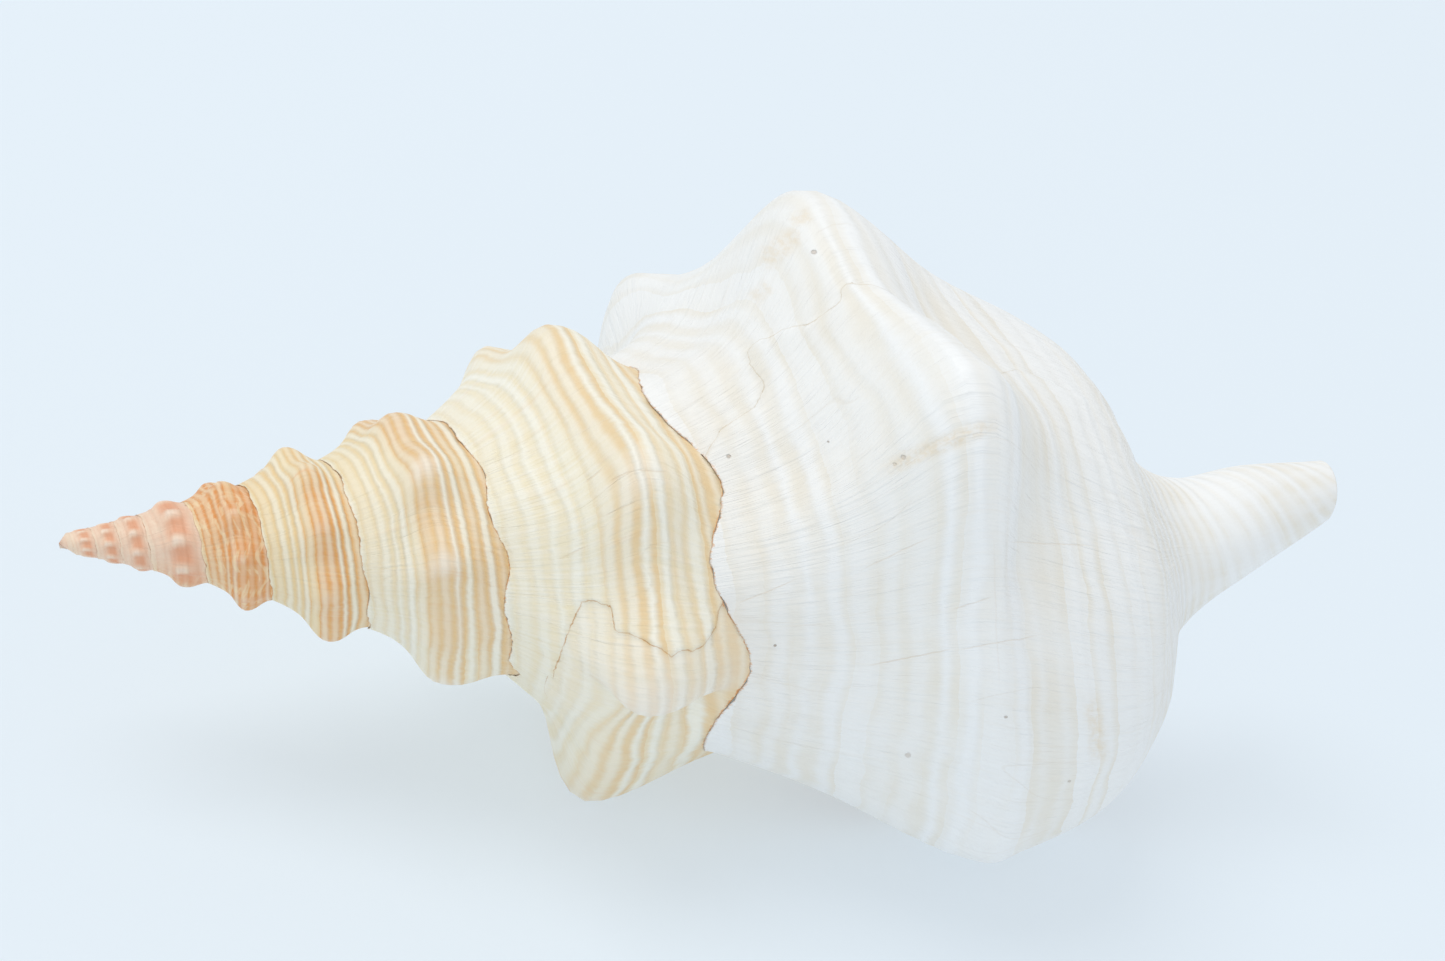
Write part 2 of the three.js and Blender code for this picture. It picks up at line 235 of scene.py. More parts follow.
def stations(turn, waves=1):
    """Nine places along the profile: suture, ramp, shoulder, contact with the next whorl, then the base."""
    growth = growth_at(turn)
    following = growth_at(turn + 1)
    back_x = SUTURE_X * growth
    band_x = SUTURE_X * following - back_x
    back_radius = SUTURE_RADIUS * growth**SUTURE_POWER
    band_radius = SUTURE_RADIUS * following**SUTURE_POWER - back_radius
    place = spline(SHOULDER_TURNS, SHOULDER_PLACE, turn)
    shoulder_x = back_x + place * band_x
    shoulder_radius = (back_radius + place * band_radius) * spline(SHOULDER_TURNS, SHOULDER_HEIGHT, turn)
    ramp = blend(RAMP_SPIRE, RAMP_BODY, smooth(*RAMP_TO_BODY, turn))
    ramp = ramp + (RAMP_LIP - RAMP_BODY) * smooth(*NEAR_LIP, turn)
    ramp = ramp + RAMP_BULGE * np.exp(-(((turn - RAMP_BULGE_TURN) / RAMP_BULGE_WIDTH) ** 2))
    start_x, start_radius = suture(turn, waves)
    contact_x, contact_radius = suture(turn + 1, waves)
    early = np.minimum(CONTACT_GAP, CONTACT_SHARE * place * band_x)
    gap = blend(early, CONTACT_GAP_LIP, smooth(*CONTACT_GAP_OPENS, turn))
    contact_x = np.where(turn >= -1, np.maximum(contact_x, shoulder_x + gap), contact_x)
    contact_radius = contact_radius * (1 - CONTACT_TUCK * smooth(*NEAR_LIP, turn))
    x = [start_x, (start_x + shoulder_x) / 2, shoulder_x, contact_x]
    radius = [start_radius, blend(start_radius, shoulder_radius, ramp), shoulder_radius, contact_radius]
    inside = WHORL_GROWTH ** np.minimum(turn + 1, 0)
    for grows, base_x, base_radius in BASE:
        x.append(spline(BASE_TURNS, base_x, turn) * (1 - grows * (1 - inside)))
        radius.append(spline(BASE_TURNS, base_radius, turn) * inside)
    return np.stack(x, 1), np.stack(radius, 1), shoulder_radius


def profile(turn, station, knob_share=1.0):
    """knob_share is how much of a knob's height there is. The valleys between knobs keep their depth."""
    x, radius, shoulder = stations(turn)
    spread = near_shoulder(station, KNOB_REACH_BACK, KNOB_REACH_FRONT)
    spread = spread * (1 - smooth(*KNOB_SINK_TURNS, turn) * smooth(*KNOB_SINK_STATIONS, station))
    share = blend(KNOB_HEIGHT_SPIRE, KNOB_HEIGHT_BODY, smooth(*KNOB_HEIGHT_GROWS, turn))
    knob = knobs_at(turn, station)
    lift = np.where(knob > 0, knob_share, 1) * share * shoulder * knob * spread
    return along_rows(x, station), along_rows(radius, station) + lift


def in_space(x, radius, turn):
    angle = math.pi + 2 * math.pi * turn
    bend = np.maximum((x - BEND_START) / (BEND_END - BEND_START), 0) ** BEND_POWER
    crook = spline(CROOK_X, CROOK_UP, x)
    side = -radius * np.sin(angle) + BEND_SIDE * bend
    return np.stack([x, side, radius * np.cos(angle) + BEND_UP * bend + crook], -1)


def lip_turn(turn, station):
    reach = spline(range(TIP + 1), LIP_REACH, station)
    return turn + reach * smooth(LIP_START, 0, turn)


def outside(turn, station):
    at = lip_turn(turn, station)
    return in_space(*profile(at, station), at)


def hollow_wall(turn, station):
    """The hollow's outer side: the profile moved in by the wall, square to itself."""
    at = lip_turn(turn, station)
    step = 0.002
    x_before, radius_before = profile(at, np.maximum(station - step, 0), HOLLOW_KNOBS)
    x_after, radius_after = profile(at, np.minimum(station + step, TIP), HOLLOW_KNOBS)
    x, radius = profile(at, station, HOLLOW_KNOBS)
    run = np.hypot(x_after - x_before, radius_after - radius_before)
    wall = blend(WALL_AT_LIP, WALL_INSIDE, smooth(0, -HOLLOW_TURNS, turn))
    wall = wall * (1 - WALL_THINNER_IN_CANAL * smooth(*WALL_THINS, station))
    x = x + wall * (radius_after - radius_before) / run
    radius = radius - wall * (x_after - x_before) / run
    return in_space(x, radius, at)


def grid(turns, rows):
    """Turns down the columns and stations along the rows, as two flat arrays."""
    turn, station = np.meshgrid(turns, rows, indexing="ij")
    return turn.ravel(), station.ravel()


# The axis is laid down so that REST_UP points up, in the CAD solid's place.
REST_UP = REST_UP / np.linalg.norm(REST_UP)
along_axis = np.array([1.0, 0, 0]) - REST_UP * REST_UP[0]
along_axis /= np.linalg.norm(along_axis)
LAY = np.stack([along_axis, np.cross(REST_UP, along_axis), REST_UP])

TIP_X = BASE[-1][1][0]
TIP_PLACE = in_space(np.array([TIP_X + TIP_END]), np.zeros(1), np.zeros(1))
APEX_PLACE = np.array([[SUTURE_X * growth_at(APEX_TURN), 0, 0]])


def coarse_points():
    spire = grid(np.arange(COARSE_FIRST * COARSE_STEPS, 1) / COARSE_STEPS, COARSE_BAND)
    body = grid(np.arange(-COARSE_STEPS, 1) / COARSE_STEPS, COARSE_FRONT)
    return np.concatenate([outside(*spire), outside(*body), APEX_PLACE, TIP_PLACE])


laid = coarse_points() @ LAY.T
MIDDLE = (laid.min(0) + laid.max(0)) / 2
MIDDLE[2] = laid[:, 2].min() + REST_CUT


def to_row(points):
    return points @ LAY.T - MIDDLE


# Camera.
camera_look = np.array([math.sin(CAMERA_YAW), math.cos(CAMERA_YAW), 0])
camera_right = np.array([math.cos(CAMERA_YAW), -math.sin(CAMERA_YAW), 0])
camera_up = np.array([0, 0, 1.0])


def in_photo(points):
    """Where a point of the shell's own frame shows in the photograph, in its pixels."""
    away = points - CAMERA_PLACE
    depth = away @ camera_look
    u = PHOTO_WIDTH / 2 + FOCAL_PIXELS * (away @ camera_right) / depth
    v = PHOTO_HEIGHT / 2 - FOCAL_PIXELS * (away @ camera_up) / depth
    return u, v


camera_data = bpy.data.cameras.new("camera")
camera_data.sensor_width = SENSOR_WIDTH
camera_data.lens = FOCAL_PIXELS / PHOTO_WIDTH * SENSOR_WIDTH
camera_data.clip_start = 0.01
camera_data.clip_end = 20
camera = bpy.data.objects.new("camera", camera_data)
bpy.context.scene.collection.objects.link(camera)
camera_turn = Matrix(np.stack([LAY @ camera_right, LAY @ camera_up, -(LAY @ camera_look)], 1).tolist())
camera.matrix_world = Matrix.Translation(Vector(to_row(CAMERA_PLACE) * MM)) @ camera_turn.to_4x4()
bpy.context.scene.camera = camera

# Surface detail. Lengths are measured over the surface: across from the suture, and along the growth.
WANDER_VALUES = 4096


def wander(places, pitch, seed):
    """Smooth noise from -1 to 1 along one line."""
    values = np.random.default_rng(seed).uniform(-1, 1, WANDER_VALUES)
    x = np.asarray(places) / pitch
    i = np.floor(x).astype(int)
    return blend(values[i % WANDER_VALUES], values[(i + 1) % WANDER_VALUES], smooth(0, 1, x - i))


def pairs(row):
    return zip(row[:-1], row[1:])


def line_distance(u, v, line):
    """Signed distance in pixels to a line of pixels, positive on its right as it runs on down the list."""
    line = np.asarray(line, float)
    best = np.full(np.shape(u), np.inf)
    side = np.ones(np.shape(u))
    for (x0, y0), (x1, y1) in pairs(line):
        dx, dy = x1 - x0, y1 - y0
        share = np.clip(((u - x0) * dx + (v - y0) * dy) / (dx * dx + dy * dy), 0, 1)
        away = np.hypot(u - x0 - share * dx, v - y0 - share * dy)
        cross = dx * (v - y0) - dy * (u - x0)
        nearer = away < best
        best = np.where(nearer, away, best)
        side = np.where(nearer, np.sign(cross), side)
    return best * side


# The healed breaks on the spire and on the last whorl, read off the photograph in its pixels.
BREAK_LINE = [(556, 668), (562, 652), (571, 626), (582, 602), (592, 600), (602, 604), (610, 605), (614, 616),
              (615, 632), (628, 633), (641, 638), (651, 645), (660, 648), (670, 657), (677, 652), (682, 650),
              (692, 651), (702, 646), (709, 637), (715, 627), (718, 612), (722, 604)]
REPAIR_LINE = [(700, 470), (711, 446), (722, 429), (740, 417), (755, 408), (765, 387), (762, 379),
               (751, 366), (748, 352), (757, 341), (771, 338), (785, 329), (811, 324), (827, 312),
               (840, 303), (842, 289), (849, 282), (858, 285), (872, 285), (886, 291), (907, 305),
               (932, 324), (953, 338), (977, 369), (998, 376), (1016, 370), (1037, 377), (1070, 392)]
# The turns at which each line lies, a pixel's size on the shell, and what stands for far from a line.
BREAK_TURNS = (-1.35, -1.0)
REPAIR_TURNS = (-0.75, -0.05)
PIXEL_SIZE = 0.17
FAR = 30.0

first_column = int(round(FIRST_TURN * STEPS))
band_stations = np.linspace(0, 1, BAND_ROWS + 1)
band_stations = CONTACT * (band_stations - ROW_CROWDING * np.sin(2 * math.pi * band_stations))
front_stations = np.linspace(CONTACT, SLOT_END, FRONT_ROWS)[1:]
all_stations = np.concatenate([band_stations, front_stations, TIP_STATIONS])
LAST_ROW = len(all_stations) - 1
SLOT_ROW = LAST_ROW - len(TIP_STATIONS)
SHOULDER_ROW = int(np.argmin(np.abs(band_stations - SHOULDER)))

# Cords run round the shell: so many to a whorl's band, fewer on the first whorls, then at a fixed pitch. On
# the canal they are counted along the axis and climb with the turn.
CORDS = 12
CORD_TURNS = [-8, -5.5, -4.5, -3.5, -2.5, -2]
CORD_SHARE = [0.4, 0.45, 0.6, 0.8, 0.95, 1]
FRONT_CORD_PITCH = 4.6
CANAL_CORD_PITCH = 3.9
CANAL_CORD_RISE = 42
CANAL_CORD_X = 205
CANAL_CORD_TURN = -0.3
CANAL_CORDS_BEFORE = 17
CANAL_CORDS_START = (5.2, 6.6)

# Growth lines run behind the shoulder's length by a share of the band: they lean, and turn at the shoulder.
LINE_LAG = 0.36
LINE_LEAN = 0.1
LINE_TURN = 0.9
LINE_ROUND = 0.1


def surface_frame(turn, station):
    """Place and outward normal of the smooth outside."""
    step_turn = 0.0015
    step_station = 0.01
    back = np.maximum(station - step_station, 0)
    front = np.minimum(station + step_station, TIP)
    rise = outside(turn, front) - outside(turn, back)
    run = outside(turn + step_turn, station) - outside(turn - step_turn, station)
    normal = np.cross(run, rise)
    normal /= np.linalg.norm(normal, axis=1)[:, None]
    return outside(turn, station), normal


# The shoulder's radius against the suture's half a turn on.
SHOULDER_OUT = 1.35
length_turns = np.linspace(APEX_TURN - 0.1, 0.2, 2000)
length_radius = SUTURE_RADIUS * SHOULDER_OUT * growth_at(length_turns + 0.5) ** SUTURE_POWER
length_steps = math.pi * (length_radius[1:] + length_radius[:-1]) * np.diff(length_turns)
length_so_far = np.concatenate([[0], np.cumsum(length_steps)])


def shoulder_length(turn):
    """Length along the shoulder from the apex, in millimetres."""
    return np.interp(turn, length_turns, length_so_far)


def even_share(turn, x):
    """Share of the way across a whorl's band, read by the place along the axis on the band without waves."""
    share = np.empty_like(x)
    rows = np.linspace(0, CONTACT, 61)
    for t in np.unique(turn):
        here = turn == t
        even_x, even_radius = (along_rows(line, rows) for line in stations(np.full(len(rows), t), 0)[:2])
        length = np.concatenate([[0], np.cumsum(np.hypot(np.diff(even_x), np.diff(even_radius)))])
        length /= length[-1]
        # Where the wavy suture reaches past the even band, the share runs on.
        before = np.minimum(x[here] - even_x[0], 0) * (length[2] - length[0]) / (even_x[2] - even_x[0])
        beyond = np.maximum(x[here] - even_x[-1], 0) * (length[-1] - length[-3]) / (even_x[-1] - even_x[-3])
        share[here] = np.interp(x[here], even_x, length) + before + beyond
    return share


def outer_sheet(columns, rows, split=1):
    """The smooth sheet and what is measured over it. split of its rows make one row of the whole shell's."""
    turn, station = grid(columns / STEPS, rows)
    shape = (len(columns), len(rows))
    place, normal = surface_frame(turn, station)
    x, radius = profile(turn, station)
    cord = CORDS * (spline(CORD_TURNS, CORD_SHARE, turn) * even_share(turn, x))
    turn, station, x, radius, cord = (flat.reshape(shape) for flat in (turn, station, x, radius, cord))
    place = place.reshape(*shape, 3)
    step = np.linalg.norm(np.diff(place, axis=1), axis=2)
    across = np.concatenate([np.zeros((shape[0], 1)), np.cumsum(step, 1)], 1)
    band = across[:, [BAND_ROWS * split]] + np.zeros(shape)
    along = shoulder_length(turn)
    shoulder = across[:, [SHOULDER_ROW * split]]
    past = across / shoulder - 1
    bow = 1 + LINE_LEAN * past - LINE_TURN * np.hypot(past, LINE_ROUND)
    last_cord = cord[:, [BAND_ROWS * split]]
    cord = np.where(station <= CONTACT, cord, last_cord + (across - band) / FRONT_CORD_PITCH)
    climbed = x - CANAL_CORD_X - CANAL_CORD_RISE * (turn - CANAL_CORD_TURN)
    canal = CORDS + CANAL_CORDS_BEFORE + climbed / CANAL_CORD_PITCH
    cord = blend(cord, canal, smooth(*CANAL_CORDS_START, station))
    return {"place": place, "normal": normal.reshape(*shape, 3), "turn": turn, "station": station,
            "radius": radius, "across": across, "band": band, "along": along,
            "lag": along + LINE_LAG * shoulder * bow, "cord": cord}


spire_columns = np.arange(first_column, -STEPS)
body_columns = np.arange(-STEPS, 1)

# An old growth edge just past the healed break on the spire. The shell goes on lower down.
LEDGE_TURN = -1.126
LEDGE_DROP = 3.4
LEDGE_ROUND = 5.0
LEDGE_HEALED = -1.03
LEDGE_STATIONS = (1.0, 1.6, 2.75, 3.05)
LEDGE_WANDER = 0.004
LEDGE_PITCH = 5

# The crust at the suture stands up and wanders, its edge is chipped along the axis, and the shell dips a
# little before the next whorl: height or depth, pitch along the growth, and reach across, in millimetres.
CRUST_HEIGHT = 0.17
CRUST_WANDER = 0.2
CRUST_PITCH = 1.9
CRUST_REACH = 1.3
CHIP_DEPTH = 0.4
CHIP_PITCH = 1.3
CHIP_REACH = 0.8
DIP_DEPTH = 0.1
DIP_REACH = 1.1
CRUST_POWER = 0.7

# Growth waves: height, pitch and seed. They fade towards the suture and where the radius is small.
WAVES = [(0.2, 7.5, 1), (0.1, 3.1, 2)]
WAVE_POWER = 0.6
WAVE_ACROSS = (0, 6)
WAVE_RADIUS = (12, 35)

# How far the old shell stands over the new one at a healed break, and the width it takes to level.
BREAK_HEIGHT = 0.42
BREAK_LEVELS = 7
REPAIR_HEIGHT = 0.5
REPAIR_LEVELS = 9

# The fold that sharpens the second knob of the last whorl towards the suture, in turns and millimetres.
FOLD_TURN = -0.31
FOLD_ROUND = 2.0
FOLD_WIDTH = 7.0
FOLD_HEIGHT = 2.6
FOLD_STATIONS = (0.1, 0.9, 2, 2.9)

# For the material: the radius at which the shell counts as thin, and a knob's reach in stations.
THIN_RADIUS = (8, 30)
KNOB_MARK_BACK = 0.7
KNOB_MARK_FRONT = 0.6


def between(limits, value):
    """1 between the middle two limits, fading to 0 at the outer two."""
    return smooth(limits[0], limits[1], value) * smooth(limits[3], limits[2], value)


def near_line(sheet, u, v, facing, turns, line):
    """Signed distance in millimetres to a line of the photograph, and where the camera saw those turns."""
    here = facing & (sheet["turn"] > turns[0]) & (sheet["turn"] < turns[1])
    gap = np.where(here, line_distance(u, v, line) * PIXEL_SIZE, FAR)
    return np.clip(gap, -FAR, FAR), here


def ledge(sheet):
    """How far the shell lies lower past the old growth edge, and where that edge's rounded nose is."""
    station, turn = sheet["station"], sheet["turn"]
    window = between(LEDGE_STATIONS, station)
    edge = LEDGE_TURN + LEDGE_WANDER * wander(sheet["across"], LEDGE_PITCH, 5)
    past = 2 * math.pi * sheet["radius"] * (turn - edge) / LEDGE_ROUND
    after = 1 - np.sqrt(1 - np.clip(past + 1, 0, 1) ** 2)
    drop = LEDGE_DROP * window * after * smooth(LEDGE_HEALED, LEDGE_TURN, turn)
    return drop, window * smooth(-2.2, -0.2, past) * smooth(0.1, -0.1, past)


def fold(sheet):
    station, turn = sheet["station"], sheet["turn"]
    crest = FOLD_TURN + KNOB_LAG * np.maximum(SHOULDER - station, 0)
    off = 2 * math.pi * sheet["radius"] * (turn - crest)
    ridge = np.exp(-np.sqrt(off**2 + FOLD_ROUND**2) / FOLD_WIDTH)
    return FOLD_HEIGHT * ridge * between(FOLD_STATIONS, station) * (turn > -1)


def add_detail(sheet):
    """Moves the sheet by what stands off the smooth form, and adds what the material has to know."""
    turn, station, across, lag = (sheet[name] for name in ("turn", "station", "across", "lag"))
    growth = growth_at(turn)
    sheet["size"] = growth_at(turn + 1)
    to_next = np.where(turn < -1, sheet["band"] - across, 1e3)
    crust = CRUST_HEIGHT + CRUST_WANDER * wander(lag, CRUST_PITCH, 3)
    height = crust * growth**CRUST_POWER * np.exp(-across / (CRUST_REACH * growth))
    height -= DIP_DEPTH * growth**CRUST_POWER * np.exp(-np.maximum(to_next, 0) / (DIP_REACH * growth))
    fade = smooth(*WAVE_ACROSS, across) * growth**WAVE_POWER * smooth(*WAVE_RADIUS, sheet["radius"] / growth)
    height += fade * sum(tall * wander(lag, pitch, seed) for tall, pitch, seed in WAVES)
    height += fold(sheet)
    drop, sheet["nose"] = ledge(sheet)
    height -= drop

    u, v = in_photo(sheet["place"])
    facing = np.einsum("ijk,ijk->ij", sheet["normal"], CAMERA_PLACE - sheet["place"]) > 0
    sheet["break_gap"], here = near_line(sheet, u, v, facing, BREAK_TURNS, BREAK_LINE)
    sheet["repair_gap"], there = near_line(sheet, u, v, facing, REPAIR_TURNS, REPAIR_LINE)
    # The shell before a break stands over the shell that grew on after it.
    old = smooth(0.3, -0.3, sheet["break_gap"]) * smooth(-BREAK_LEVELS, 0, sheet["break_gap"]) * here
    height += BREAK_HEIGHT * old
    new = smooth(-0.4, 0.4, sheet["repair_gap"]) * smooth(REPAIR_LEVELS, 0, sheet["repair_gap"]) * there
    height += REPAIR_HEIGHT * new

    sheet.update(u=u, v=v, seen=facing.astype(float), thin=smooth(*THIN_RADIUS, sheet["radius"] / growth))
    reach = near_shoulder(station, KNOB_MARK_BACK, KNOB_MARK_FRONT)
    sheet["knob"] = np.clip(knobs_at(turn, station), 0, 1) * reach
    slide = CHIP_DEPTH * growth**CRUST_POWER * wander(lag, CHIP_PITCH, 11)
    slide *= np.exp(-across / (CHIP_REACH * growth))
    sheet["place"] = sheet["place"] + sheet["normal"] * height[..., None]
    sheet["place"][..., 0] += slide


# What the material reads at each vertex.
MEASURED = ("across", "band", "along", "lag", "cord")
NAMES = ("turn", *MEASURED, "inside", "break_gap", "repair_gap", "u", "v", "seen", "thin", "knob", "nose",
         "size")
vertices = []
values = {name: [] for name in NAMES}
faces = []
triangles = []


def add(place, **given):
    """Adds places as vertices with the material's values, and gives their numbers."""
    place = np.asarray(place, float).reshape(-1, 3)
    start = sum(len(v) for v in vertices)
    vertices.append(place)
    for name in NAMES:
        values[name].append(np.broadcast_to(np.ravel(given.get(name, 0.0)), len(place)))
    return np.arange(start, start + len(place))


def quads(a, b, c, d):
    faces.append(np.stack([a.ravel(), b.ravel(), c.ravel(), d.ravel()], 1))


# Near a break line each quad is split this many ways each way.
SPLIT = 3
SPLIT_REACH = 1.6


def split_near_breaks(sheet, ids, columns, rows):
    """Adds small quads along the break lines, and says which quads of the sheet they stand for."""
    close = np.minimum(np.abs(sheet["break_gap"]), np.abs(sheet["repair_gap"])) < SPLIT_REACH
    near = np.any(corners(close), axis=0)
    c, r = np.nonzero(near)
    first, last, top = c.min(), c.max() + 1, max(r.max() + 1, BAND_ROWS)
    fine_rows = np.interp(np.arange(top * SPLIT + 1) / SPLIT, np.arange(len(rows)), rows)
    fine_columns = np.linspace(columns[first], columns[last], (last - first) * SPLIT + 1)
    fine = outer_sheet(fine_columns, fine_rows, SPLIT)
    add_detail(fine)
    names = [name for name in NAMES if name in fine] + ["place"]
    # Where a split quad meets a whole one, its small edges lie on the whole one's edge.
    local = near[first:last, :top]
    padded = np.pad(local, 1)
    for name in names:
        whole = sheet[name][first: last + 1, : top + 1]
        fine[name][::SPLIT, ::SPLIT] = whole
        for k in range(1, SPLIT):
            a, b = np.nonzero(padded[:-1, 1:-1] != padded[1:, 1:-1])
            fine[name][a * SPLIT, b * SPLIT + k] = blend(whole[a, b], whole[a, b + 1], k / SPLIT)
            a, b = np.nonzero(padded[1:-1, :-1] != padded[1:-1, 1:])
            fine[name][a * SPLIT + k, b * SPLIT] = blend(whole[a, b], whole[a + 1, b], k / SPLIT)
    small = np.repeat(np.repeat(local, SPLIT, 0), SPLIT, 1)
    used = np.zeros(fine["turn"].shape, bool)
    for part in corners(used):
        part |= small
    used[::SPLIT, ::SPLIT] = False
    fine_ids = np.full(used.shape, -1)
    fine_ids[used] = add(**{name: fine[name][used] for name in names})
    fine_ids[::SPLIT, ::SPLIT] = ids[first: last + 1, : top + 1]
    quads(*(part[small] for part in corners(fine_ids)))
    return near


def corners(ids):
    return ids[:-1, :-1], ids[1:, :-1], ids[1:, 1:], ids[:-1, 1:]


def add_sheet(columns, rows):
    sheet = outer_sheet(columns, rows)
    add_detail(sheet)
    given = {name: sheet[name] for name in NAMES if name in sheet}
    ids = add(sheet["place"], **given).reshape(sheet["turn"].shape)
    return sheet, ids, split_near_breaks(sheet, ids, columns, rows)


spire_sheet, spire_ids, spire_split = add_sheet(spire_columns, band_stations)
body_sheet, body_ids, body_split = add_sheet(body_columns, all_stations)

# The canal closes into a tube beyond the slot.
body_ids[-1, SLOT_ROW:] = body_ids[0, SLOT_ROW:]

band_ids = np.concatenate([spire_ids, body_ids[:, : BAND_ROWS + 1]])
quads(*(part[~spire_split] for part in corners(spire_ids)))
quads(*corners(band_ids[len(spire_ids) - 1: len(spire_ids) + 1]))
quads(*(part[~body_split] for part in corners(body_ids)))
# The riser at the suture, from a whorl's contact row to the next whorl's first row.
edge = band_ids[:-STEPS, BAND_ROWS]
lap = band_ids[STEPS:, 0]
quads(edge[:-1], edge[1:], lap[1:], lap[:-1])

plain = {"break_gap": FAR, "repair_gap": FAR, "size": 1}
first_ring = {name: spire_sheet[name][0].mean() for name in (*MEASURED, "size")}
apex = add(APEX_PLACE, **{**plain, **first_ring}, turn=APEX_TURN)[0]
triangles += [(apex, b, a) for a, b in pairs(band_ids[: STEPS + 1, 0])]
triangles += [(apex, a, b) for a, b in pairs(band_ids[0])]

# Two rings round off the canal's rim.
TIP_RINGS = (1, 2.5)
tip_radius = body_sheet["radius"][:, -1]
tip_rings = [body_ids[:, LAST_ROW]]
ring_values = {name: body_sheet[name][:, -1] for name in ("turn", *MEASURED)}
for share in TIP_RINGS:
    ring_x = np.full(len(body_columns), TIP_X + TIP_EDGE * share**0.5)
    ring = in_space(ring_x, tip_radius - TIP_EDGE * share**2, body_columns / STEPS)
    ids = add(ring, **ring_values, **plain)
    ids[-1] = ids[0]
    quads(tip_rings[-1][:-1], tip_rings[-1][1:], ids[1:], ids[:-1])
    tip_rings.append(ids)
tip_values = {name: value.mean() for name, value in ring_values.items()}
tip = add(TIP_PLACE, **tip_values, **plain)[0]
triangles += [(tip, a, b) for a, b in pairs(tip_rings[-1])]

# The mouth: the wall's inner side, the whorl before it, and the lip's rounded edge between. Colour and
# relief are plain inside, so rough lengths do: millimetres and cords to a station.
INSIDE_AT_LIP = 0.35
INNER_LENGTH = 18
INNER_BAND = 50
INNER_CORDS = 5
inside_columns = np.arange(0, -HOLLOW_TURNS * STEPS - 1, -INSIDE_EVERY)[::-1]
slot_stations = all_stations[: SLOT_ROW + 1]
wall_stations = HOLLOW_CORNER + (SLOT_END - HOLLOW_CORNER) * slot_stations / SLOT_END


def add_inner(place, turn, station, inside):
    length = shoulder_length(turn)
    ids = add(place, turn=turn, along=length, lag=length, across=station * INNER_LENGTH, band=INNER_BAND,
              cord=station * INNER_CORDS, inside=inside, **plain)
    return ids.reshape(len(inside_columns), -1)


turn, station = grid(inside_columns / STEPS, wall_stations)
depth = blend(INSIDE_AT_LIP, 1, smooth(0, 0.08, -turn))
wall_ids = add_inner(hollow_wall(turn, station), turn, station, depth)
wall_ids[-1, -1] = body_ids[0, SLOT_ROW]
turn, station = grid(inside_columns / STEPS - 1, all_stations[BAND_ROWS: SLOT_ROW + 1])
parietal = in_space(*profile(turn, station), turn)
parietal_ids = add_inner(parietal, turn, station, 0.2 + 0.8 * smooth(0, 0.1, -1 - turn))
parietal_ids[:, 0] = wall_ids[:, 0]
parietal_ids[:, -1] = wall_ids[:, -1]
parietal_ids[-1, 1:] = body_ids[0, BAND_ROWS + 1: SLOT_ROW + 1]
one, two, three, four = corners(wall_ids)
quads(one, four, three, two)
quads(*corners(parietal_ids))

# The lip's edge bulges by half its thickness, up to a limit.
LIP_ROWS = 4
LIP_THICKEST = 3
made = np.concatenate(vertices)
lip_outer = made[body_ids[-1, : SLOT_ROW + 1]]
lip_inner = made[wall_ids[-1]]
turn = np.zeros(SLOT_ROW + 1)
run = outside(turn, slot_stations) - outside(turn - 0.003, slot_stations)
run /= np.linalg.norm(run, axis=1)[:, None]
thick = np.linalg.norm(lip_outer - lip_inner, axis=1)[:, None]
lip_values = {name: body_sheet[name][-1, : SLOT_ROW + 1] for name in NAMES if name in body_sheet}
lip_rows = [body_ids[-1, : SLOT_ROW + 1]]
for k in range(1, LIP_ROWS):
    angle = math.pi * k / LIP_ROWS
    share = (1 - math.cos(angle)) / 2
    bulge = np.minimum(thick, LIP_THICKEST) * 0.5 * math.sin(angle)
    place = blend(lip_outer, lip_inner, share) + run * bulge
    lip_rows.append(add(place, **lip_values, inside=INSIDE_AT_LIP * k / LIP_ROWS))
lip_rows.append(wall_ids[-1])
for one, two in pairs(lip_rows):
    quads(one[:-1], two[:-1], two[1:], one[1:])
corner = [body_ids[-1, 0], body_ids[0, BAND_ROWS], body_ids[0, BAND_ROWS + 1], wall_ids[-1, 0]]
faces.append(np.array([corner]))

# The deep end of the hollow is closed off.
wall_end = wall_ids[0]
parietal_end = parietal_ids[0]
i = 0
k = 0
while i < len(wall_end) - 1 or k < len(parietal_end) - 1:
    if (i + 1) / (len(wall_end) - 1) <= (k + 1) / (len(parietal_end) - 1):
        triangles.append((wall_end[i], parietal_end[k], wall_end[i + 1]))
        i += 1
    else:
        triangles.append((wall_end[i], parietal_end[k], parietal_end[k + 1]))
        k += 1

places = to_row(np.concatenate(vertices))
places[:, 2] = np.maximum(places[:, 2], 0)
# A face keeps each of its corners once, and one that has shrunk to a line is left out.
corner_lists = [tuple(dict.fromkeys(int(i) for i in face)) for face in (*np.concatenate(faces), *triangles)]
polygons = sorted((face for face in corner_lists if len(face) > 2), key=len, reverse=True)

mesh = bpy.data.meshes.new("shell_surface")
mesh.from_pydata((places * MM).tolist(), [], polygons)
mesh.validate()
mesh.polygons.foreach_set("use_smooth", np.ones(len(mesh.polygons), bool))
for name in NAMES:
    layer = mesh.attributes.new(name, "FLOAT", "POINT")
    layer.data.foreach_set("value", np.concatenate(values[name]).astype(np.float32))
mesh.update()
shell = bpy.data.objects.new("shell_surface", mesh)
bpy.context.scene.collection.objects.link(shell)
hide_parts("shell")
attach(shell, "root")


# Materials.
def srgb(red, green, blue):
    """A colour given as the eye reads it on a screen, 0 to 255, as the renderer takes it."""
    def one(c):
        c /= 255
        return c / 12.92 if c <= 0.04045 else ((c + 0.055) / 1.055) ** 2.4
    return (one(red), one(green), one(blue), 1)


